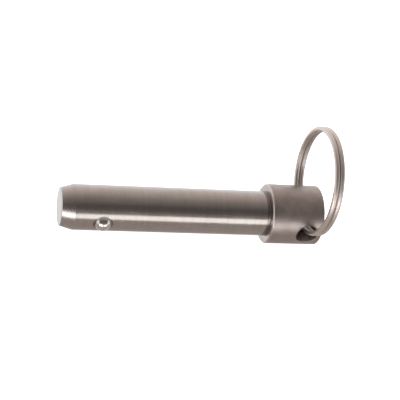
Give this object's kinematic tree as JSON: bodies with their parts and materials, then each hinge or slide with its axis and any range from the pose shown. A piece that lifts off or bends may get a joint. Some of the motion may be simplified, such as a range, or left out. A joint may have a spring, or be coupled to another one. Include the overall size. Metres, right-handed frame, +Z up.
{
  "type": "detent hitch pin",
  "caption": "Steel hitch pin with a spring-loaded ball detent near its chamfered tip, a larger collar head and a split ring through the head as a pull.",
  "frame": {"origin": "on the pin's axis, at the plane of the collar head's front face, where the shank leaves the head", "axes": "+X along the pin's axis from the tip to the head, Y along the ball hole and the ring's cross-hole, +Z up, the side on which the ring stands at rest"},
  "size_m": [0.074, 0.0308, 0.0372],
  "materials": {
    "ground_steel": "ground and polished, bright",
    "turned_steel": "fine turned satin",
    "ball_steel": "mirror polished",
    "spring_steel": "plain drawn wire",
    "ring_wire": "bright nickel-plated wire"
  },
  "bodies": {
    "pin": {"shank": "ground_steel", "collar_head": "turned_steel", "detent_spring": "spring_steel"},
    "ball_front": {"detent_ball_front": "ball_steel"},
    "ball_back": {"detent_ball_back": "ball_steel"},
    "ring": {"split_ring": "ring_wire"}
  },
  "joints": [
    {"name": "ring_swing", "type": "hinge", "parent": "pin", "child": "ring", "pos_m": [0.0109, 0, 0], "axis": [0, 1, 0], "range_deg": [-77, 248]},
    {"name": "ball_front_slide", "type": "slide", "parent": "pin", "child": "ball_front", "axis": [0, -1, 0], "range_m": [-0.00165, 0], "stiffness_N_per_m": 1500, "springref_m": 0.002, "deforming": ["detent_spring"]},
    {"name": "ball_back_slide", "type": "slide", "parent": "pin", "child": "ball_back", "axis": [0, 1, 0], "range_m": [-0.00165, 0], "stiffness_N_per_m": 1500, "springref_m": 0.002, "deforming": ["detent_spring"]}
  ]
}
